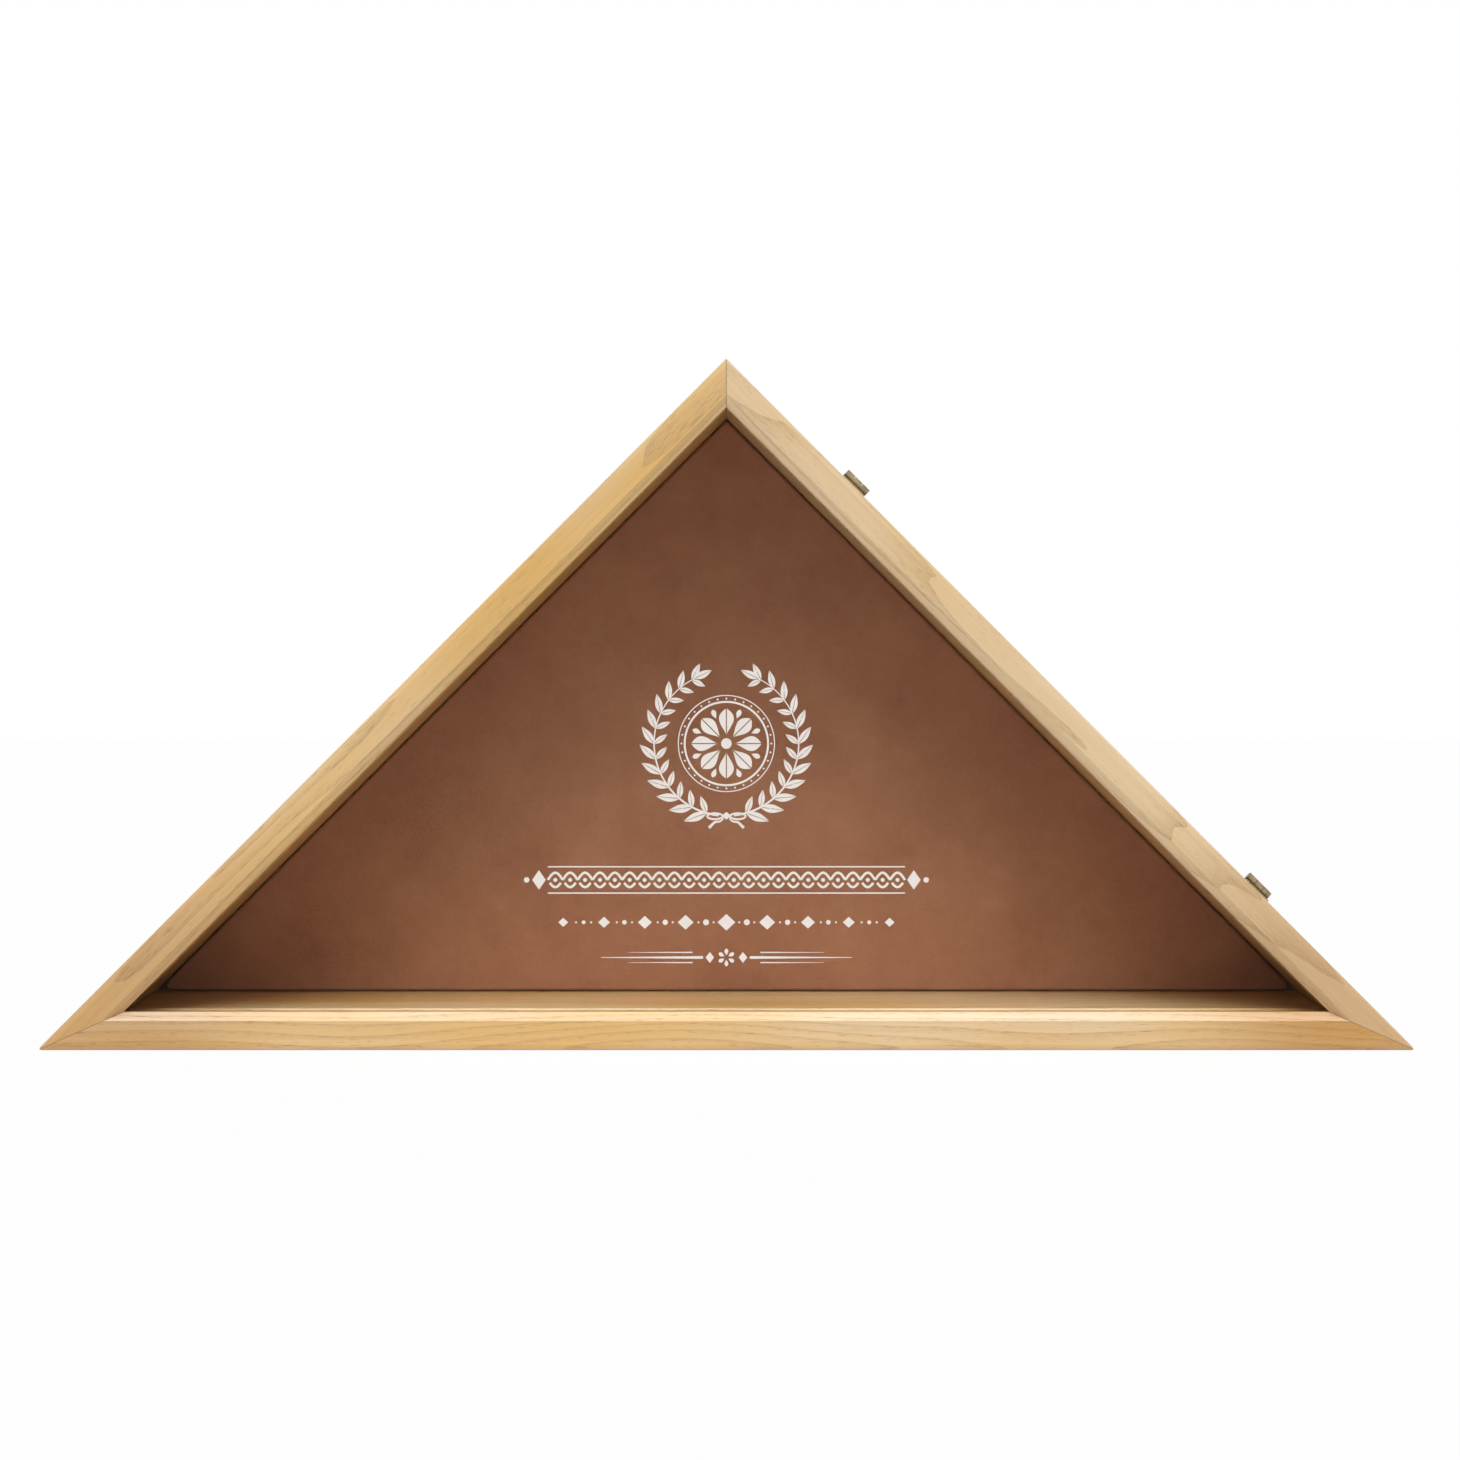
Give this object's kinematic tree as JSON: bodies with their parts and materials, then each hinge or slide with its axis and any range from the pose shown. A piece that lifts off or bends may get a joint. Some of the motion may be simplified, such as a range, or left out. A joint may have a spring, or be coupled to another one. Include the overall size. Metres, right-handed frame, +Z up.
{
  "type": "flag display case",
  "caption": "Triangular oak display case for a folded flag, with a glazed front door hinged on its right-hand leg, a velvet-covered back and keyhole hangers.",
  "frame": {"origin": "middle of the underside, half way between the door's face and the boards' back edges", "axes": "+X along the base to the right as seen from the front, +Y to the back, +Z up"},
  "size_m": [0.6452, 0.1016, 0.3236],
  "materials": {
    "oak": "light natural oak, satin lacquer",
    "spline_wood": "plain hardwood, glued in",
    "panel_board": "plain fibreboard, matt",
    "velvet": "short brown velvet pile",
    "glass": "clear float glass",
    "antique_brass": "dull antique brass",
    "zinc_steel": "zinc plated",
    "nickel": "nickel plated"
  },
  "bodies": {
    "case": {"base_board": "oak", "left_side_board": "oak", "right_side_board": "oak", "apex_spline": "spline_wood", "left_corner_spline": "spline_wood", "right_corner_spline": "spline_wood", "back_panel": "panel_board", "back_panel_screws": "zinc_steel", "velvet_backing": "velvet", "left_hanger": "zinc_steel", "right_hanger": "zinc_steel", "hanger_screws": "zinc_steel", "case_magnets": "nickel", "upper_hinge_case_leaf": "antique_brass", "lower_hinge_case_leaf": "antique_brass", "upper_hinge_pin": "antique_brass", "lower_hinge_pin": "antique_brass", "case_hinge_screws": "antique_brass"},
    "door": {"door_base_rail": "oak", "door_left_rail": "oak", "door_right_rail": "oak", "door_v_nails": "zinc_steel", "glass_pane": "glass", "base_glass_stop": "oak", "left_glass_stop": "oak", "right_glass_stop": "oak", "glass_stop_brads": "zinc_steel", "door_magnets": "nickel", "upper_hinge_door_leaf": "antique_brass", "lower_hinge_door_leaf": "antique_brass", "door_hinge_screws": "antique_brass"}
  },
  "joints": [
    {"name": "door_swing", "type": "hinge", "parent": "case", "child": "door", "pos_m": [0.06116, -0.0345, 0.26637], "axis": [-0.7071, 0, 0.7071], "range_deg": [0, 180]}
  ]
}
